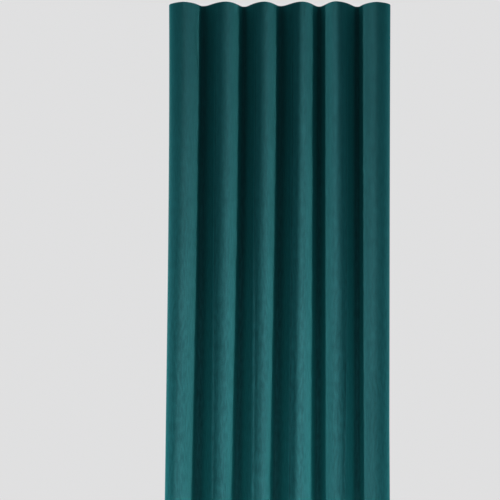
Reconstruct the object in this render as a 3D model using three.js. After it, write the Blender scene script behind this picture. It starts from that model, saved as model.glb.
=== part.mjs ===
// Velvet curtain panel that hangs straight from its top edge in six soft waves.
// Millimetres, +Z up. +X is the viewer's right and the pile side faces -Y.
// The origin is the middle of the top edge, half way through the depth of the waves.

import * as THREE from 'three';

// Driving sizes
const DROP = 2500;                // top edge to lower edge
const CLOTH = 1.6;                // thickness of the velvet, ground weave and pile
const WAVE_DEPTH = 114;           // frontmost crest to the rearmost turn, at the heading
const HEADING_TURN = 70;          // cloth turned to the back along the top edge
const BOTTOM_HEM = 90;            // double turn along the lower edge
const SIDE_HEM = 25;              // double turn down both sides
const HEM_BUILD = 2.6;            // what the turned layers add at the back
const HEM_STEP = 4;               // width over which a hem's edge falls back to one layer

// Shape of one wave in plan: a broad front, a narrower back and steep flanks between them.
const FRONT_WIDTH = 0.06;         // share of the half wave that the front gains from the back
const HEM_ROUNDNESS = 0.045;      // share that both turns gain from the flanks, from the heading to the hem
const LEAN_LEFT_AT_HEM = 0.5;     // share of a flank's lean that is left at the lower edge

// Lines along which the cloth turns, from its left edge to its right edge, back and front in turn.
//   x      place across the panel at the heading
//   back   distance behind the frontmost crest at the heading
//   drift  sideways travel from the heading to the lower edge
//   settle travel to the back from the heading to the lower edge
//   lean   how far the flank on the line's right side swells sideways at mid depth, + to the right
const TURNS = [
  { x: -338, back: 114, drift: -24, settle: -6, lean: -25 },   // left edge
  { x: -301, back: 9, drift: -42, settle: 7, lean: 6 },
  { x: -242, back: 91, drift: -26, settle: 28, lean: -1 },
  { x: -167, back: 6, drift: -29, settle: 12, lean: 2 },
  { x: -112, back: 102, drift: -35, settle: -6, lean: -3 },
  { x: -47, back: 6, drift: -22, settle: 3, lean: 1 },
  { x: 4, back: 90, drift: -26, settle: 0, lean: 0 },
  { x: 70, back: 6, drift: -17, settle: -21, lean: 1 },
  { x: 127, back: 100, drift: -8, settle: 4, lean: 0 },
  { x: 173, back: 0, drift: 8, settle: 1, lean: 4 },
  { x: 249, back: 103, drift: 0, settle: -11, lean: -7 },
  { x: 302, back: 11, drift: -1, settle: 17, lean: 21 },
  { x: 346, back: 105, drift: 9, settle: -2, lean: 0 },       // right edge
];

// Fineness of the solid
const STEPS_PER_FLANK = 8;
const ROWS = 14;

const smooth = (t) => t * t * (3 - 2 * t);
const clamp01 = (t) => Math.min(1, Math.max(0, t));

// Middle line of the cloth: the point on one flank at a share of its way and a depth below the top.
function flankPoint(flank, share, below) {
  const from = TURNS[flank];
  const to = TURNS[flank + 1];
  const hang = below / DROP;
  const startsInFront = from.back < to.back;
  const angle = startsInFront ? share * Math.PI : (1 - share) * Math.PI;
  const toBack = (1 - Math.cos(angle)) / 2;
  const roundness = HEM_ROUNDNESS * hang;
  const toSide = angle / Math.PI + FRONT_WIDTH * Math.sin(angle) + roundness * Math.sin(2 * angle);
  const front = startsInFront ? from : to;
  const rear = startsInFront ? to : from;
  const eased = smooth(hang);
  const frontX = front.x + front.drift * eased;
  const rearX = rear.x + rear.drift * eased;
  const frontY = front.back + front.settle * eased;
  const rearY = rear.back + rear.settle * eased;
  const lean = from.lean * (1 - (1 - LEAN_LEFT_AT_HEM) * hang) * Math.sin(angle) ** 2;
  return {
    x: frontX + (rearX - frontX) * toSide + lean,
    y: frontY + (rearY - frontY) * toBack - WAVE_DEPTH / 2,
  };
}

// The middle line at one height, as evenly phased stations with the length of cloth up to each one.
function middleLine(below) {
  const stations = [];
  for (let flank = 0; flank < TURNS.length - 1; flank += 1) {
    for (let step = 0; step < STEPS_PER_FLANK; step += 1) {
      stations.push(flankPoint(flank, step / STEPS_PER_FLANK, below));
    }
  }
  stations.push(flankPoint(TURNS.length - 2, 1, below));
  let length = 0;
  stations.forEach((station, i) => {
    if (i > 0) {
      length += Math.hypot(station.x - stations[i - 1].x, station.y - stations[i - 1].y);
    }
    station.along = length;
  });
  return stations;
}

// The station at a length along the cloth, between the two that lie around it.
function stationAt(stations, along) {
  let i = 1;
  while (i < stations.length - 1 && stations[i].along < along) {
    i += 1;
  }
  const a = stations[i - 1];
  const b = stations[i];
  const share = (along - a.along) / (b.along - a.along);
  return { x: a.x + (b.x - a.x) * share, y: a.y + (b.y - a.y) * share, along };
}

// One row of the sheet: the stations, with one more at each end where a side hem's step begins and ends.
function rowStations(below) {
  const stations = middleLine(below);
  const total = stations[stations.length - 1].along;
  const edges = [SIDE_HEM, SIDE_HEM + HEM_STEP, total - SIDE_HEM - HEM_STEP, total - SIDE_HEM];
  const extra = edges.map((along) => stationAt(stations, along));
  return [...stations, ...extra].sort((a, b) => a.along - b.along);
}

// Extra thickness at the back where the cloth is turned over.
function hemBuild(along, total, below) {
  const fromSide = Math.min(along, total - along);
  const fromEdges = [fromSide - SIDE_HEM, below - HEADING_TURN, DROP - below - BOTTOM_HEM];
  const outside = Math.min(...fromEdges);
  return HEM_BUILD * (1 - smooth(clamp01(outside / HEM_STEP)));
}

// Depths below the top of all rows: even ones, and a pair at the edge of each cross hem.
function rowDepths() {
  const hemEdges = [HEADING_TURN, HEADING_TURN + HEM_STEP, DROP - BOTTOM_HEM - HEM_STEP, DROP - BOTTOM_HEM];
  const between = [];
  for (let row = 1; row < ROWS; row += 1) {
    between.push(HEADING_TURN + (DROP - BOTTOM_HEM - HEADING_TURN) * row / ROWS);
  }
  return [0, ...hemEdges, ...between, DROP].sort((a, b) => a - b);
}

// The whole sheet as one closed body: front, back and the four edges.
function sheetGeometry() {
  const depths = rowDepths();
  const front = [];
  const back = [];
  for (const below of depths) {
    const stations = rowStations(below);
    const total = stations[stations.length - 1].along;
    stations.forEach((station, i) => {
      const before = stations[Math.max(0, i - 1)];
      const after = stations[Math.min(stations.length - 1, i + 1)];
      const run = Math.hypot(after.x - before.x, after.y - before.y);
      const normalX = (after.y - before.y) / run;
      const normalY = -(after.x - before.x) / run;
      const behind = CLOTH / 2 + hemBuild(station.along, total, below);
      front.push(station.x + normalX * CLOTH / 2, station.y + normalY * CLOTH / 2, -below);
      back.push(station.x - normalX * behind, station.y - normalY * behind, -below);
    });
  }

  const rows = depths.length;
  const columns = front.length / 3 / rows;
  const backStart = rows * columns;
  const frontAt = (row, column) => row * columns + column;
  const backAt = (row, column) => backStart + row * columns + column;
  const faces = [];
  const quad = (a, b, c, d) => faces.push(a, b, c, a, c, d);

  for (let row = 0; row < rows - 1; row += 1) {
    for (let column = 0; column < columns - 1; column += 1) {
      quad(frontAt(row, column), frontAt(row + 1, column),
        frontAt(row + 1, column + 1), frontAt(row, column + 1));
      quad(backAt(row, column), backAt(row, column + 1),
        backAt(row + 1, column + 1), backAt(row + 1, column));
    }
    quad(frontAt(row, 0), backAt(row, 0), backAt(row + 1, 0), frontAt(row + 1, 0));
    quad(frontAt(row, columns - 1), frontAt(row + 1, columns - 1),
      backAt(row + 1, columns - 1), backAt(row, columns - 1));
  }
  for (let column = 0; column < columns - 1; column += 1) {
    quad(frontAt(0, column), frontAt(0, column + 1), backAt(0, column + 1), backAt(0, column));
    quad(frontAt(rows - 1, column), backAt(rows - 1, column),
      backAt(rows - 1, column + 1), frontAt(rows - 1, column + 1));
  }

  const geometry = new THREE.BufferGeometry();
  geometry.setAttribute('position', new THREE.Float32BufferAttribute([...front, ...back], 3));
  geometry.setIndex(faces);
  geometry.computeVertexNormals();
  return geometry;
}

const velvet = new THREE.MeshStandardMaterial({ color: 0x0a4b50, roughness: 0.85, metalness: 0 });

const curtain = new THREE.Group();
const panel = new THREE.Mesh(sheetGeometry(), velvet);
panel.name = 'curtain_panel';
curtain.add(panel);

export default curtain;
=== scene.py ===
"""Dresses the velvet curtain panel: its cloth, hems, stitching and finishes, in a plain soft studio."""

import logging
import math
from dataclasses import dataclass, field
from enum import Enum
from typing import Any

import bpy
import numpy as np
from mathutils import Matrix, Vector


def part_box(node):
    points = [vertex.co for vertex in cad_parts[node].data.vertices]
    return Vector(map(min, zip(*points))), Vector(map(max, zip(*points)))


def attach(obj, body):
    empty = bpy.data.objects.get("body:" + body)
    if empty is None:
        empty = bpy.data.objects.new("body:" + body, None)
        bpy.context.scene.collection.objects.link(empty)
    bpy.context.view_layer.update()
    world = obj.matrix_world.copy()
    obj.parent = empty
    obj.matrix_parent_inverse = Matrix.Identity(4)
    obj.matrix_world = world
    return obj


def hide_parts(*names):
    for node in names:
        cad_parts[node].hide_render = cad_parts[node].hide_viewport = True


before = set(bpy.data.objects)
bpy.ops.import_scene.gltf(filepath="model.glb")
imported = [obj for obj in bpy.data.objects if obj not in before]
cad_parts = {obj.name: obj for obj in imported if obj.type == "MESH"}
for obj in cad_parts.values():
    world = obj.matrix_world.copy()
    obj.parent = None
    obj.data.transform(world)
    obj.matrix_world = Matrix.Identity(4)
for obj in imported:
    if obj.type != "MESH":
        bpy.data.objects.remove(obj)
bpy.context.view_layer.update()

log = logging.getLogger("curtain")

BODY = "root"
PANEL_NODE = "curtain_panel"
CLOTH_MAP = "cloth"  # metres along the cloth and down it, for every finish

Colour = tuple[float, float, float]
Point = tuple[float, float, float]
Pair = tuple[float, float]

WHITE: Colour = (1.0, 1.0, 1.0)


# ---------------------------------------------------------------------------------------------
# Shader maths
# ---------------------------------------------------------------------------------------------


class Value:
    """A shader socket that takes part in Python arithmetic, adding one Math node a step."""

    def __init__(self, tree: "ShaderTree", socket: bpy.types.NodeSocket) -> None:
        """Keeps the tree to add nodes to and the socket that holds this value."""
        self.tree = tree
        self.socket = socket

    def _math(self, operation: str, *terms: Any) -> "Value":
        """Adds one Math node.

        Args:
            operation: the node's operation.
            terms: its inputs in order, values or numbers.

        Returns:
            The node's result.
        """
        node = self.tree.add("ShaderNodeMath", {"operation": operation}, dict(enumerate(terms)))
        return Value(self.tree, node.outputs[0])

    def __add__(self, other: Any) -> "Value":
        """This value plus another."""
        return self._math("ADD", self, other)

    def __radd__(self, other: Any) -> "Value":
        """A number plus this value."""
        return self._math("ADD", other, self)

    def __sub__(self, other: Any) -> "Value":
        """This value less another."""
        return self._math("SUBTRACT", self, other)

    def __rsub__(self, other: Any) -> "Value":
        """A number less this value."""
        return self._math("SUBTRACT", other, self)

    def __mul__(self, other: Any) -> "Value":
        """This value times another."""
        return self._math("MULTIPLY", self, other)

    def __rmul__(self, other: Any) -> "Value":
        """A number times this value."""
        return self._math("MULTIPLY", other, self)

    def sine(self) -> "Value":
        """The sine of this value, in radians."""
        return self._math("SINE", self)

    def __abs__(self) -> "Value":
        """The size of this value."""
        return self._math("ABSOLUTE", self)

    def __or__(self, other: Any) -> "Value":
        """The larger of two values."""
        return self._math("MAXIMUM", self, other)

    def fraction(self) -> "Value":
        """What is left of this value above its whole number."""
        return self._math("FRACT", self)

    def eased(self, start: float, end: float) -> "Value":
        """A soft rise from 0 where this value is at start to 1 where it is at end.

        Args:
            start: the value that gives 0.
            end: the value that gives 1, which may be less than start.

        Returns:
            The eased share.
        """
        settings = {"interpolation_type": "SMOOTHSTEP"}
        node = self.tree.add("ShaderNodeMapRange", settings, {0: self, 1: start, 2: end})
        return Value(self.tree, node.outputs[0])

    def clamped(self) -> "Value":
        """This value held between 0 and 1."""
        return self._math("MINIMUM", self._math("MAXIMUM", self, 0.0), 1.0)


class ShaderTree:
    """The nodes of one material or of the room."""

    def __init__(self, tree: bpy.types.NodeTree) -> None:
        """Empties the tree.

        Args:
            tree: the node tree to fill.
        """
        self.nodes = tree.nodes
        self.links = tree.links
        self.nodes.clear()

    @classmethod
    def of_material(cls, name: str) -> tuple["ShaderTree", bpy.types.Material]:
        """Starts an empty material.

        Args:
            name: the material's name.

        Returns:
            Its tree and the material.
        """
        material = bpy.data.materials.new(name)
        material.use_nodes = True
        return cls(material.node_tree), material

    def add(self, kind: str, settings: dict[str, Any], inputs: dict[Any, Any]) -> bpy.types.Node:
        """Adds any node.

        Args:
            kind: the node's type.
            settings: its own settings, set before its sockets.
            inputs: socket name or number to a value, a socket or a number.

        Returns:
            The node.
        """
        node = self.nodes.new(kind)
        for name, setting in settings.items():
            setattr(node, name, setting)
        for name, given in inputs.items():
            if isinstance(given, Value):
                self.links.new(given.socket, node.inputs[name])
            elif isinstance(given, bpy.types.NodeSocket):
                self.links.new(given, node.inputs[name])
            else:
                node.inputs[name].default_value = given
        return node

    def cloth_place(self) -> tuple[Value, Value]:
        """The place on the cloth.

        Returns:
            Metres along the cloth and metres down it.
        """
        place = self.add("ShaderNodeUVMap", {"uv_map": CLOTH_MAP}, {})
        parts = self.add("ShaderNodeSeparateXYZ", {}, {0: place.outputs[0]})
        return Value(self, parts.outputs[0]), Value(self, parts.outputs[1])

    def grain(self, place: tuple[Value, Value], size: Pair, detail: float, seed: float) -> Value:
        """Soft noise whose grains are stretched over two directions.

        Args:
            place: metres across and metres down.
            size: how wide and how long one grain is, in metres.
            detail: octaves of finer noise.
            seed: a third coordinate that tells one noise from another.

        Returns:
            A value around a half.
        """
        across, down = (metres * (1 / stretch) for metres, stretch in zip(place, size))
        point = self.add("ShaderNodeCombineXYZ", {}, {0: across, 1: down, 2: seed})
        inputs = {"Vector": point.outputs[0], "Scale": 1.0, "Detail": detail}
        return Value(self, self.add("ShaderNodeTexNoise", {}, inputs).outputs[0])

    def blend(self, share: Value, low: Any, high: Any) -> bpy.types.NodeSocket:
        """A colour between two.

        Args:
            share: 0 for the low colour and 1 for the high one.
            low: colour or socket.
            high: colour or socket.

        Returns:
            The mixed colour's socket.
        """
        settings = {"data_type": "RGBA", "blend_type": "MIX"}
        inputs = {0: share, 6: rgba(low), 7: rgba(high)}
        return self.add("ShaderNodeMix", settings, inputs).outputs[2]

    def bump(self, height: Value, depth: float, strength: float) -> bpy.types.NodeSocket:
        """A bumped normal.

        Args:
            height: 0 to 1 over the surface.
            depth: real depth in metres of the full height.
            strength: share of the effect.

        Returns:
            The normal's socket.
        """
        inputs = {"Height": height, "Distance": depth, "Strength": strength}
        return self.add("ShaderNodeBump", {}, inputs).outputs[0]

    def finish(self, inputs: dict[str, Any]) -> None:
        """Closes a material with one Principled shader.

        Args:
            inputs: that shader's sockets.
        """
        shader = self.add("ShaderNodeBsdfPrincipled", {}, inputs)
        self.add("ShaderNodeOutputMaterial", {}, {"Surface": shader.outputs[0]})


def rgba(colour: Any) -> Any:
    """A colour with full alpha, or a socket as it is."""
    return (*colour, 1.0) if isinstance(colour, tuple) else colour


# ---------------------------------------------------------------------------------------------
# Finishes
# ---------------------------------------------------------------------------------------------


@dataclass(frozen=True)
class HemStitching:
    """Straight machine stitches along the folds of the turned hems, in metres on the cloth."""

    width: float
    drop: float
    heading_turn: float
    bottom_hem: float
    side_hem: float
    inset: float = 0.004  # from a hem's fold to its stitches
    pitch: float = 0.0045
    gap_share: float = 0.22
    thread: float = 0.0007
    colour: Colour = (0.010, 0.090, 0.098)

    def mask(self, along: Value, down: Value) -> Value:
        """Where the thread lies.

        Args:
            along: metres along the cloth.
            down: metres down it.

        Returns:
            1 on the thread and 0 off it.
        """
        side = self.side_hem - self.inset
        crossing = self.row(down, self.heading_turn - self.inset, along)
        lower = self.row(down, self.drop - self.bottom_hem + self.inset, along)
        left = self.row(along, side, down)
        right = self.row(along, self.width - side, down)
        return crossing | lower | left | right

    def row(self, from_line: Value, line: float, run: Value) -> Value:
        """One row of stitches.

        Args:
            from_line: the coordinate across the row.
            line: where the row lies on it.
            run: the coordinate along the row.

        Returns:
            1 on its thread and 0 off it.
        """
        across = abs(from_line - line).eased(self.thread / 2, self.thread / 4)
        from_middle = abs((run * (1 / self.pitch)).fraction() - 0.5)
        return across * from_middle.eased(0.5 - self.gap_share / 2, 0.5 - self.gap_share)


@dataclass(frozen=True)
class VelvetPile:
    """Cut pile: deep colour, brushed marks, cloudy patches, fine tufts and a soft sheen at its rims."""

    deep: Colour = (0.0038, 0.0305, 0.0345)
    clear: Colour = (0.0084, 0.0600, 0.0670)
    sheen_tint: Colour = (0.06, 0.92, 0.97)
    sheen_weight: float = 0.205
    sheen_roughness: float = 0.5
    gloss: float = 0.003
    roughness: float = 0.62
    roughness_spread: float = 0.2
    mark_size: Pair = (0.0062, 0.032)
    mark_contrast: float = 0.70
    mark_relief: float = 0.65  # share of the relief that the marks make
    wander_size: Pair = (0.09, 0.16)
    wander_reach: float = 0.030  # how far the brushed marks wander sideways
    tuft_size: Pair = (0.0022, 0.0022)
    tuft_contrast: float = 0.50
    tuft_relief: float = 0.35
    grain_band: Pair = (0.30, 0.70)  # noise levels between which marks and tufts rise from 0 to 1
    patch_size: Pair = (0.050, 0.24)
    patch_contrast: float = 0.5
    least_shade: float = 0.25
    mark_growth_band: Pair = (0.1, 1.2)  # metres down, over which the marks grow from their least share to full strength
    least_marks: float = 0.40  # share of the marks left above it
    stitch_sink: float = 0.9  # how deep stitches lie, as a share of the relief
    relief: float = 0.0006
    relief_strength: float = 0.55

    def material(self, name: str, stitching: HemStitching | None = None) -> bpy.types.Material:
        """Builds the finish.

        Args:
            name: the material's name.
            stitching: rows of stitches that show on it, or none.

        Returns:
            The material.
        """
        tree, material = ShaderTree.of_material(name)
        along, down = tree.cloth_place()
        wander = tree.grain((along, down), self.wander_size, detail=1.0, seed=2.0) - 0.5
        brushed = along + wander * self.wander_reach
        marks = tree.grain((brushed, down), self.mark_size, detail=3.0, seed=1.0).eased(*self.grain_band)
        patches = tree.grain((along, down), self.patch_size, detail=2.0, seed=4.0)
        tufts = tree.grain((along, down), self.tuft_size, detail=2.0, seed=7.0).eased(*self.grain_band)
        # the marks grow stronger towards the bottom of the panel
        mark_strength = down.eased(*self.mark_growth_band) * (1 - self.least_marks) + self.least_marks
        grain = (marks - 0.5) * self.mark_contrast + (tufts - 0.5) * self.tuft_contrast
        shade = (grain * mark_strength + patches * self.patch_contrast + self.least_shade).clamped()
        colour = tree.blend(shade, self.deep, self.clear)
        height = marks * self.mark_relief + tufts * self.tuft_relief
        if stitching:
            thread = stitching.mask(along, down)
            colour = tree.blend(thread, colour, stitching.colour)
            height = height - thread * self.stitch_sink
        tree.finish({
            "Base Color": colour,
            "Roughness": self.roughness + (tufts - 0.5) * self.roughness_spread,
            "Specular IOR Level": self.gloss,
            "Sheen Weight": self.sheen_weight,
            "Sheen Roughness": self.sheen_roughness,
            "Sheen Tint": rgba(self.sheen_tint),
            "Normal": tree.bump(height, self.relief, self.relief_strength),
        })
        return material


@dataclass(frozen=True)
class WovenReverse:
    """The plain woven back of the velvet: matt, a little duller, with a fine even weave."""

    shadow: Colour = (0.0020, 0.0230, 0.0260)
    thread: Colour = (0.0050, 0.0480, 0.0530)
    gloss: float = 0.05
    sheen_tint: Colour = (0.15, 0.80, 0.84)
    sheen_weight: float = 0.25
    sheen_roughness: float = 0.5
    roughness: float = 0.92
    roughness_spread: float = 0.06
    thread_pitch: float = 0.0009
    thread_contrast: float = 0.5
    thread_relief: float = 0.7
    slub_size: Pair = (0.05, 0.0045)
    slub_contrast: float = 0.8
    slub_relief: float = 0.3
    shade_drop: float = 0.15
    relief: float = 0.0002
    relief_strength: float = 0.6

    def material(self) -> bpy.types.Material:
        """Builds the finish.

        Returns:
            The material.
        """
        tree, material = ShaderTree.of_material("woven_reverse")
        along, down = tree.cloth_place()
        turn = 2 * math.pi / self.thread_pitch
        warp = (along * turn).sine()
        weft = (down * turn).sine()
        weave = (warp * weft) * 0.5 + 0.5
        slubs = tree.grain((along, down), self.slub_size, detail=2.0, seed=2.0)
        shade = (weave * self.thread_contrast + slubs * self.slub_contrast - self.shade_drop).clamped()
        height = weave * self.thread_relief + slubs * self.slub_relief
        tree.finish({
            "Base Color": tree.blend(shade, self.shadow, self.thread),
            "Roughness": self.roughness - weave * self.roughness_spread,
            "Specular IOR Level": self.gloss,
            "Sheen Weight": self.sheen_weight,
            "Sheen Roughness": self.sheen_roughness,
            "Sheen Tint": rgba(self.sheen_tint),
            "Normal": tree.bump(height, self.relief, self.relief_strength),
        })
        return material


@dataclass(frozen=True)
class PaleFloor:
    """Plain pale studio floor, trowelled and sealed: faint clouds and a fine tooth."""

    colour: Colour = (0.62, 0.61, 0.60)
    cloud: Colour = (0.58, 0.57, 0.56)
    cloud_size: Pair = (0.9, 0.9)
    cloud_band: Pair = (0.3, 0.7)  # noise levels between which the clouds clear
    tooth_size: Pair = (0.004, 0.004)
    tooth_depth: float = 0.0002
    tooth_strength: float = 0.4
    roughness: float = 0.7
    roughness_spread: float = 0.15

    def material(self) -> bpy.types.Material:
        """Builds the finish.

        Returns:
            The material.
        """
        tree, material = ShaderTree.of_material("pale_floor")
        point = tree.add("ShaderNodeTexCoord", {}, {}).outputs["Object"]
        parts = tree.add("ShaderNodeSeparateXYZ", {}, {0: point})
        place = (Value(tree, parts.outputs[0]), Value(tree, parts.outputs[1]))
        clouds = tree.grain(place, self.cloud_size, detail=3.0, seed=5.0)
        tooth = tree.grain(place, self.tooth_size, detail=1.0, seed=6.0)
        tree.finish({
            "Base Color": tree.blend(clouds.eased(*self.cloud_band), self.cloud, self.colour),
            "Roughness": self.roughness + (clouds - 0.5) * self.roughness_spread,
            "Normal": tree.bump(tooth, self.tooth_depth, self.tooth_strength),
        })
        return material


# ---------------------------------------------------------------------------------------------
# The hang of the cloth
# ---------------------------------------------------------------------------------------------


@dataclass(frozen=True)
class Turn:
    """A line along which the cloth turns, at the back or the front of a wave, in metres."""

    x: float  # place across the panel at the heading
    back: float  # distance behind the frontmost crest
    drift: float  # sideways travel from the heading to the lower edge
    settle: float  # travel to the back from the heading to the lower edge
    lean: float  # sideways swell of the flank on its right, at mid depth


@dataclass(frozen=True)
class Crease:
    """A soft lengthwise ridge or trough in the cloth, in metres."""

    along: float  # place along the cloth at the heading
    shift: float  # sideways travel along the cloth by the lower edge
    top: float  # where it begins, below the top edge
    bottom: float  # where it ends
    height: float  # stands out to the front, or sinks if negative
    width: float


TURNS = (
    Turn(x=-0.338, back=0.114, drift=-0.024, settle=-0.006, lean=-0.025),
    Turn(x=-0.301, back=0.009, drift=-0.042, settle=0.007, lean=0.006),
    Turn(x=-0.242, back=0.091, drift=-0.026, settle=0.028, lean=-0.001),
    Turn(x=-0.167, back=0.006, drift=-0.029, settle=0.012, lean=0.002),
    Turn(x=-0.112, back=0.102, drift=-0.035, settle=-0.006, lean=-0.003),
    Turn(x=-0.047, back=0.006, drift=-0.022, settle=0.003, lean=0.001),
    Turn(x=0.004, back=0.090, drift=-0.026, settle=0.0, lean=0.0),
    Turn(x=0.070, back=0.006, drift=-0.017, settle=-0.021, lean=0.001),
    Turn(x=0.127, back=0.100, drift=-0.008, settle=0.004, lean=0.0),
    Turn(x=0.173, back=0.0, drift=0.008, settle=0.001, lean=0.004),
    Turn(x=0.249, back=0.103, drift=0.0, settle=-0.011, lean=-0.007),
    Turn(x=0.302, back=0.011, drift=-0.001, settle=0.017, lean=0.021),
    Turn(x=0.346, back=0.105, drift=0.009, settle=-0.002, lean=0.0),
)

CREASES = (
    Crease(along=0.299, shift=0.050, top=0.09, bottom=2.30, height=0.0032, width=0.0040),
    Crease(along=0.543, shift=0.024, top=0.07, bottom=2.35, height=0.0035, width=0.0041),
    Crease(along=0.753, shift=0.032, top=0.08, bottom=2.25, height=0.0032, width=0.0039),
    Crease(along=1.077, shift=0.023, top=0.09, bottom=2.30, height=0.0030, width=0.0040),
)


def smooth_step(share: Any) -> Any:
    """An eased rise from 0 to 1, of a number or an array."""
    held = np.clip(share, 0, 1)
    return held * held * (3 - 2 * held)


@dataclass
class Hang:
    """Where every point of the cloth's middle surface hangs."""

    drop: float
    wave_depth: float = 0.114  # frontmost crest to the rearmost turn, at the heading
    front_width: float = 0.06  # share of the half wave that the front gains from the back
    hem_roundness: float = 0.045  # share that both turns gain from the flanks on the way to the hem
    lean_left_at_hem: float = 0.5  # share of a flank's lean that is left at the lower edge
    turns: tuple[Turn, ...] = TURNS
    creases: tuple[Crease, ...] = CREASES
    crease_fullness: float = 0.6  # below 1, a crease keeps its height nearer to its ends
    steps_per_flank: int = 100

    def line(self, down: float) -> tuple[np.ndarray, np.ndarray, np.ndarray]:
        """The middle line of the cloth at one height.

        Args:
            down: metres below the top edge.

        Returns:
            x, y and the length of cloth up to each station.
        """
        hang = down / self.drop
        eased = smooth_step(hang)
        roundness = self.hem_roundness * hang
        xs, ys = [], []
        for start, end in zip(self.turns[:-1], self.turns[1:]):
            to_back = start.back < end.back
            front, rear = (start, end) if to_back else (end, start)
            share = np.arange(self.steps_per_flank) / self.steps_per_flank
            angle = math.pi * (share if to_back else 1 - share)
            side = angle / math.pi + self.front_width * np.sin(angle) + roundness * np.sin(2 * angle)
            front_x = front.x + front.drift * eased
            rear_x = rear.x + rear.drift * eased
            front_y = front.back + front.settle * eased
            rear_y = rear.back + rear.settle * eased
            lean = start.lean * (1 - (1 - self.lean_left_at_hem) * hang)
            xs.append(front_x + (rear_x - front_x) * side + lean * np.sin(angle) ** 2)
            ys.append(front_y + (rear_y - front_y) * (1 - np.cos(angle)) / 2)
        last = self.turns[-1]
        x = np.append(np.concatenate(xs), last.x + last.drift * eased)
        y = np.append(np.concatenate(ys), last.back + last.settle * eased) - self.wave_depth / 2
        along = np.append(0.0, np.cumsum(np.hypot(np.diff(x), np.diff(y))))
        return x, y, along

    def width(self) -> float:
        """Finished width of the cloth, measured along its waves at the heading."""
        return float(self.line(0.0)[2][-1])

    def relief(self, along: np.ndarray, down: float) -> np.ndarray:
        """How far the cloth stands out to the front of its plain waves.

        Args:
            along: places along the cloth.
            down: metres below the top edge.

        Returns:
            Metres at each place.
        """
        out = np.zeros_like(along)
        for crease in self.creases:
            if crease.top < down < crease.bottom:
                share = (down - crease.top) / (crease.bottom - crease.top)
                fade = math.sin(math.pi * share) ** self.crease_fullness
                middle = crease.along + crease.shift * down / self.drop
                out += crease.height * fade * np.exp(-(((along - middle) / crease.width) ** 2))
        return out

    def place(self, along: np.ndarray, down: float) -> tuple[np.ndarray, np.ndarray, np.ndarray, np.ndarray]:
        """Where stations of the cloth hang at one height.

        Args:
            along: places along the cloth, from 0 to its width.
            down: metres below the top edge.

        Returns:
            x, y, and the x and y of the normal on the pile side.
        """
        x, y, length = self.line(down)
        at = along / along[-1] * length[-1]
        run = np.hypot(np.gradient(x), np.gradient(y))
        normal_x = np.interp(at, length, np.gradient(y) / run)
        normal_y = np.interp(at, length, -np.gradient(x) / run)
        out = self.relief(along, down)
        out_x = np.interp(at, length, x) + normal_x * out
        out_y = np.interp(at, length, y) + normal_y * out
        return out_x, out_y, normal_x, normal_y


# ---------------------------------------------------------------------------------------------
# The panel
# ---------------------------------------------------------------------------------------------


class Side(Enum):
    """What a part of the cloth shows, with the slot number of its finish."""

    PILE = 0
    REVERSE = 1
    TURNED_HEM = 2


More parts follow.
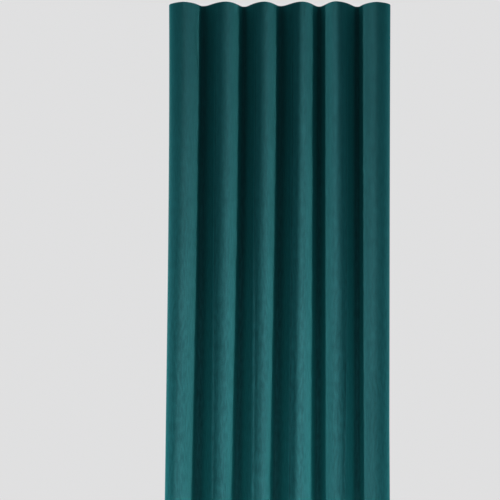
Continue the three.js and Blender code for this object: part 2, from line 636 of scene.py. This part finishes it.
@dataclass
class Cloth:
    """The velvet sheet with its hems turned to the back."""

    hang: Hang
    top: float
    thickness: float = 0.0016
    heading_turn: float = 0.070
    bottom_hem: float = 0.090
    side_hem: float = 0.025
    hem_build: float = 0.0026
    corner_build: float = 0.0009  # what the crossing of two hems adds to one
    fold_step: float = 0.0014  # width over which a hem's edge falls back to one layer
    fold_stations: int = 4
    rounding_stations: int = 3
    stations_per_flank: int = 26
    crease_spacing: float = 0.0013
    crease_reach: float = 2.0  # widths on each side of a crease that get close stations
    rows: int = 96

    def edge_stations(self, length: float, inner: Pair) -> list[float]:
        """Stations for two rounded ends and for the step of the hem inside each of them.

        Args:
            length: whole length of the direction.
            inner: width of the hem at the start and at the end.

        Returns:
            The stations.
        """
        rounding = (self.thickness + self.hem_build) / 2
        quarter = [math.pi / 2 * i / self.rounding_stations for i in range(self.rounding_stations + 1)]
        ends = [rounding * (1 - math.cos(angle)) for angle in quarter]
        step = [self.fold_step * i / self.fold_stations for i in range(self.fold_stations + 1)]
        first = ends + [inner[0] + s for s in step]
        last = [length - s for s in ends] + [length - inner[1] - s for s in step]
        return first + last

    def stations(self) -> np.ndarray:
        """Places along the cloth, closer where it turns."""
        _, _, length = self.hang.line(self.hang.drop / 2)
        width = self.hang.width()
        count = self.stations_per_flank * (len(self.hang.turns) - 1)
        phases = np.linspace(0, len(length) - 1, count + 1)
        even = np.interp(phases, np.arange(len(length)), length) * width / length[-1]
        wanted = self.edge_stations(width, (self.side_hem, self.side_hem))
        for crease in self.hang.creases:
            reach = self.crease_reach * crease.width
            start, end = crease.along - reach, crease.along + crease.shift + reach
            wanted += np.arange(start, end, self.crease_spacing).tolist()
        return self.merged(even, wanted)

    def downs(self) -> np.ndarray:
        """Heights of the rows, as metres below the top edge."""
        drop = self.hang.drop
        even = np.linspace(0, drop, self.rows + 1)
        return self.merged(even, self.edge_stations(drop, (self.heading_turn, self.bottom_hem)))

    def merged(self, even: np.ndarray, wanted: list[float]) -> np.ndarray:
        """Even stations and wanted ones in one run, without the even ones that crowd a wanted one."""
        kept = [s for s in even if min(abs(s - w) for w in wanted) > self.fold_step]
        return np.array(sorted(kept + wanted))

    def hem_at(self, along: np.ndarray, down: float) -> np.ndarray:
        """What the turned layers add at the back.

        Args:
            along: places along the cloth.
            down: metres below the top edge.

        Returns:
            Metres at each place.
        """
        from_side = np.minimum(along, along[-1] - along) - self.side_hem
        from_cross = min(down - self.heading_turn, self.hang.drop - down - self.bottom_hem)
        side = 1 - smooth_step(from_side / self.fold_step)
        cross = 1 - smooth_step(np.full_like(along, from_cross) / self.fold_step)
        return self.hem_build * np.maximum(side, cross) + self.corner_build * side * cross

    def surface(self) -> tuple[np.ndarray, np.ndarray, np.ndarray, np.ndarray]:
        """Points of the front and of the back.

        Returns:
            Front points, back points, both rows by stations by 3, then the stations and the downs.
        """
        along, downs = self.stations(), self.downs()
        width, drop = along[-1], self.hang.drop
        front = np.zeros((len(downs), len(along), 3))
        back = np.zeros_like(front)
        for row, down in enumerate(downs):
            x, y, normal_x, normal_y = self.hang.place(along, down)
            full = self.thickness + self.hem_at(along, down)
            from_edge = np.minimum(np.minimum(along, width - along), min(down, drop - down))
            rounding = full / 2
            inward = np.clip(1 - from_edge / rounding, 0, 1)
            half = rounding * np.sqrt(1 - inward**2)
            middle = self.thickness / 2 - rounding
            for points, offset in ((front, middle + half), (back, middle - half)):
                points[row, :, 0] = x + normal_x * offset
                points[row, :, 1] = y + normal_y * offset
                points[row, :, 2] = self.top - down
        return front, back, along, downs

    def build(self) -> bpy.types.Object:
        """Builds the sheet as one closed mesh.

        Returns:
            The piece.
        """
        front, back, along, downs = self.surface()
        rows, columns = len(downs), len(along)
        size = rows * columns
        numbers = np.arange(size).reshape(rows, columns)
        rim = np.zeros((rows, columns), bool)
        rim[[0, -1], :] = True
        rim[:, [0, -1]] = True
        behind = np.where(rim, numbers, numbers + size)
        quads, sides = [], []
        for grid, side in ((numbers, Side.PILE), (behind, Side.REVERSE)):
            a, b, c, d = grid[:-1, :-1], grid[1:, :-1], grid[1:, 1:], grid[:-1, 1:]
            order = (a, b, c, d) if side is Side.PILE else (a, d, c, b)
            quads.append(np.stack(order, axis=-1).reshape(-1, 4))
            sides.append(self.face_sides(side, along, downs))
        faces = np.concatenate(quads)
        points = np.concatenate([front.reshape(-1, 3), back.reshape(-1, 3)])
        used, compact = np.unique(faces, return_inverse=True)
        mesh = bpy.data.meshes.new("curtain_cloth")
        mesh.from_pydata(points[used].tolist(), [], compact.reshape(-1, 4).tolist())
        place = np.stack(np.meshgrid(along, downs), axis=-1).reshape(-1, 2)
        both = np.concatenate([place, place])[used]
        layer = mesh.uv_layers.new(name=CLOTH_MAP)
        corners = np.zeros(len(mesh.loops), np.int32)
        mesh.loops.foreach_get("vertex_index", corners)
        layer.uv.foreach_set("vector", both[corners].astype(np.float32).ravel())
        mesh.polygons.foreach_set("material_index", np.concatenate(sides).astype(np.int32))
        mesh.shade_smooth()
        mesh.update()
        piece = bpy.data.objects.new("curtain_cloth", mesh)
        bpy.context.scene.collection.objects.link(piece)
        return piece

    def face_sides(self, side: Side, along: np.ndarray, downs: np.ndarray) -> np.ndarray:
        """Which finish each face of one side shows: the pile goes round onto the turned hems.

        Args:
            side: the side of the cloth.
            along: the stations.
            downs: the rows.

        Returns:
            A slot number for each face.
        """
        if side is Side.PILE:
            return np.full((len(downs) - 1) * (len(along) - 1), Side.PILE.value)
        middle = (along[:-1] + along[1:]) / 2
        from_side = np.minimum(middle, along[-1] - middle) - self.side_hem - self.fold_step
        mid_down = (downs[:-1] + downs[1:]) / 2
        from_cross = np.minimum(mid_down - self.heading_turn, self.hang.drop - mid_down - self.bottom_hem)
        inside = (from_side[None, :] > 0) & (from_cross[:, None] - self.fold_step > 0)
        return np.where(inside, Side.REVERSE.value, Side.TURNED_HEM.value).ravel()


@dataclass
class Panel:
    """The whole curtain panel."""

    cloth: Cloth
    pile: VelvetPile = field(default_factory=VelvetPile)
    reverse: WovenReverse = field(default_factory=WovenReverse)

    def build(self) -> bpy.types.Object:
        """Returns:
            The piece.
        """
        cloth = self.cloth
        sizes = (cloth.hang.width(), cloth.hang.drop, cloth.heading_turn, cloth.bottom_hem, cloth.side_hem)
        finishes = {
            Side.PILE: self.pile.material("velvet_pile"),
            Side.REVERSE: self.reverse.material(),
            Side.TURNED_HEM: self.pile.material("turned_hem", HemStitching(*sizes)),
        }
        piece = cloth.build()
        for side in Side:
            piece.data.materials.append(finishes[side])
        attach(piece, BODY)
        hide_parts(PANEL_NODE)
        return piece


# ---------------------------------------------------------------------------------------------
# Studio
# ---------------------------------------------------------------------------------------------


@dataclass(frozen=True)
class Lamp:
    """A soft box that shines at a point."""

    name: str
    place: Point
    target: Point
    width: float
    height: float
    power: float
    spread: float = 180.0  # degrees that the light fans out, less behind a grid
    top_share: float = 1.0  # light at its upper end, as a share of that at its lower end
    colour: Colour = WHITE
    graded_from: float = 0.55  # share of its height above which it grows dimmer

    def build(self) -> None:
        """Hangs the lamp, out of the camera's sight."""
        data = bpy.data.lights.new(self.name, "AREA")
        data.shape = "RECTANGLE"
        data.size = self.width
        data.size_y = self.height
        data.energy = self.power
        data.color = self.colour
        data.spread = math.radians(self.spread)
        if self.top_share < 1.0:
            self.grade(data)
        lamp = bpy.data.objects.new(self.name, data)
        lamp.location = self.place
        lamp.rotation_euler = (Vector(self.target) - Vector(self.place)).to_track_quat("-Z", "Y").to_euler()
        lamp.visible_camera = False
        bpy.context.scene.collection.objects.link(lamp)

    def grade(self, data: bpy.types.Light) -> None:
        """Makes the box dimmer towards its upper end.

        Args:
            data: the light.
        """
        data.use_nodes = True
        tree = ShaderTree(data.node_tree)
        place = tree.add("ShaderNodeNewGeometry", {}, {}).outputs["Parametric"]
        level = tree.add("ShaderNodeSeparateXYZ", {}, {0: place}).outputs[1]
        grading = {0: level, 1: self.graded_from, 2: 1.0}
        share = Value(tree, tree.add("ShaderNodeMapRange", {}, grading).outputs[0])
        colour = tree.blend(share, WHITE, (self.top_share,) * 3)
        glow = tree.add("ShaderNodeEmission", {}, {"Color": colour, "Strength": 1.0})
        tree.add("ShaderNodeOutputLight", {}, {"Surface": glow.outputs[0]})


@dataclass(frozen=True)
class StripBox:
    """A tall soft box with a close grid, whose level beam covers one stretch of the panel."""

    name: str
    azimuth: float  # degrees to the viewer's right of straight ahead
    start: float  # where the stretch begins across the panel, in metres
    end: float
    power: float  # watts for each metre of the stretch
    top_share: float
    distance: float = 0.8
    depth: float = -0.012
    level: float = -1.3  # its middle, below the top edge
    height: float = 2.8
    spread: float = 2.0
    colour: Colour = (1.0, 0.60, 0.58)
    graded_from: float = 0.6

    def lamp(self) -> Lamp:
        """Where it stands, as a lamp.

        Returns:
            The lamp.
        """
        turn = math.radians(self.azimuth)
        middle = (self.start + self.end) / 2
        across = middle + self.distance * math.sin(turn)
        before = self.depth - self.distance * math.cos(turn)
        return Lamp(
            self.name,
            place=(across, before, self.level),
            target=(middle, self.depth, self.level),
            width=(self.end - self.start) * math.cos(turn),
            height=self.height,
            power=self.power * (self.end - self.start),
            spread=self.spread,
            top_share=self.top_share,
            colour=self.colour,
            graded_from=self.graded_from,
        )


STRIPS = (
    StripBox("right_strip", azimuth=50.0, start=-0.42, end=0.122, power=15.8, top_share=0.56),
    StripBox("far_right_strip", azimuth=62.0, start=-0.42, end=0.122, power=3.6, top_share=0.1),
    StripBox("left_strip", azimuth=-53.0, start=0.122, end=0.40, power=14.2, top_share=0.65),
)

LAMPS = (
    Lamp("right_box", place=(3.0, -0.6, -1.2), target=(0.0, 0.0, -1.2),
         width=0.8, height=2.2, power=11.0, spread=120.0),
    Lamp("left_box", place=(-3.0, -0.6, -1.45), target=(0.0, 0.0, -1.45),
         width=0.8, height=1.5, power=17.5, spread=120.0, top_share=0.45),
    Lamp("left_rim_box", place=(-2.9, 0.55, -1.2), target=(0.0, 0.05, -1.2),
         width=1.0, height=1.8, power=31.0, spread=120.0, top_share=0.7),
    Lamp("right_rim_box", place=(2.9, 0.55, -1.2), target=(0.0, 0.05, -1.2),
         width=1.0, height=1.8, power=20.0, spread=120.0, top_share=0.7),
    Lamp("low_front_box", place=(0.1, -2.4, -1.9), target=(0.0, 0.0, -1.85),
         width=1.2, height=0.8, power=4.0, spread=60.0),
    Lamp("back_left_box", place=(-2.2, 2.6, -0.6), target=(0.0, 0.0, -1.2),
         width=1.4, height=1.8, power=40.0, spread=150.0),
    Lamp("back_right_box", place=(2.6, 2.4, -0.8), target=(0.0, 0.0, -1.2),
         width=1.0, height=1.8, power=20.0, spread=150.0),
)


@dataclass
class Studio:
    """Pale floor, soft light and the camera."""

    hem_level: float
    crest: float  # how far forward the frontmost fold stands
    floor_gap: float = 0.015
    floor_radius: float = 4.2
    floor_sides: int = 96
    eye_distance: float = 4.448  # from the crest
    eye_below_top: float = 0.774
    eye_across: float = -0.093
    focal_length: float = 103.0
    film_width: float = 36.0
    backdrop_light: Colour = (0.745, 0.745, 0.75)
    room_light: Colour = (0.39, 0.46, 0.475)
    backdrop_edge: float = 0.30  # how far behind the panel the pale side of the room begins
    backdrop_full: float = 0.85  # where it is at its palest
    strips: tuple[StripBox, ...] = STRIPS
    lamps: tuple[Lamp, ...] = LAMPS

    def build(self) -> bpy.types.Object:
        """Builds the studio.

        Returns:
            The floor.
        """
        floor = self.build_floor()
        self.build_room_light()
        for lamp in (*(strip.lamp() for strip in self.strips), *self.lamps):
            lamp.build()
        self.build_camera()
        return floor

    def build_floor(self) -> bpy.types.Object:
        """Lays a round plain floor just under the lower edge.

        Returns:
            The floor.
        """
        level, radius = self.hem_level - self.floor_gap, self.floor_radius
        angles = [2 * math.pi * i / self.floor_sides for i in range(self.floor_sides)]
        points = [(radius * math.cos(angle), radius * math.sin(angle), level) for angle in angles]
        mesh = bpy.data.meshes.new("studio_floor")
        mesh.from_pydata(points, [], [list(range(self.floor_sides))])
        mesh.materials.append(PaleFloor().material())
        floor = bpy.data.objects.new("studio_floor", mesh)
        bpy.context.scene.collection.objects.link(floor)
        return floor

    def build_room_light(self) -> None:
        """Even light from the room, with its pale side behind the panel."""
        world = bpy.data.worlds.new("room")
        world.use_nodes = True
        tree = ShaderTree(world.node_tree)
        direction = tree.add("ShaderNodeTexCoord", {}, {}).outputs["Generated"]
        behind = tree.add("ShaderNodeSeparateXYZ", {}, {0: direction}).outputs[1]
        settings = {"interpolation_type": "SMOOTHSTEP"}
        inputs = {0: behind, 1: self.backdrop_edge, 2: self.backdrop_full}
        share = Value(tree, tree.add("ShaderNodeMapRange", settings, inputs).outputs[0])
        colour = tree.blend(share, self.room_light, self.backdrop_light)
        glow = tree.add("ShaderNodeBackground", {}, {"Color": colour, "Strength": 1.0})
        tree.add("ShaderNodeOutputWorld", {}, {"Surface": glow.outputs[0]})
        bpy.context.scene.world = world

    def build_camera(self) -> None:
        """A level camera square to the panel."""
        data = bpy.data.cameras.new("camera")
        data.lens = self.focal_length
        data.sensor_width = self.film_width
        camera = bpy.data.objects.new("camera", data)
        camera.location = (self.eye_across, self.crest - self.eye_distance, -self.eye_below_top)
        camera.rotation_euler = (math.pi / 2, 0.0, 0.0)
        bpy.context.scene.collection.objects.link(camera)
        bpy.context.scene.camera = camera


def main() -> None:
    """Builds the panel and the studio in order and reports each piece."""
    logging.basicConfig(level=logging.INFO, format="%(name)s: %(message)s")
    low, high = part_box(PANEL_NODE)
    cloth = Cloth(hang=Hang(drop=high[2] - low[2]), top=high[2])
    for assembly in (Panel(cloth), Studio(hem_level=low[2], crest=-cloth.hang.wave_depth / 2)):
        piece = assembly.build()
        log.info("%s: %d faces", piece.name, len(piece.data.polygons))
    bpy.context.scene.view_settings.view_transform = "Standard"


if __name__ == "__main__":
    main()
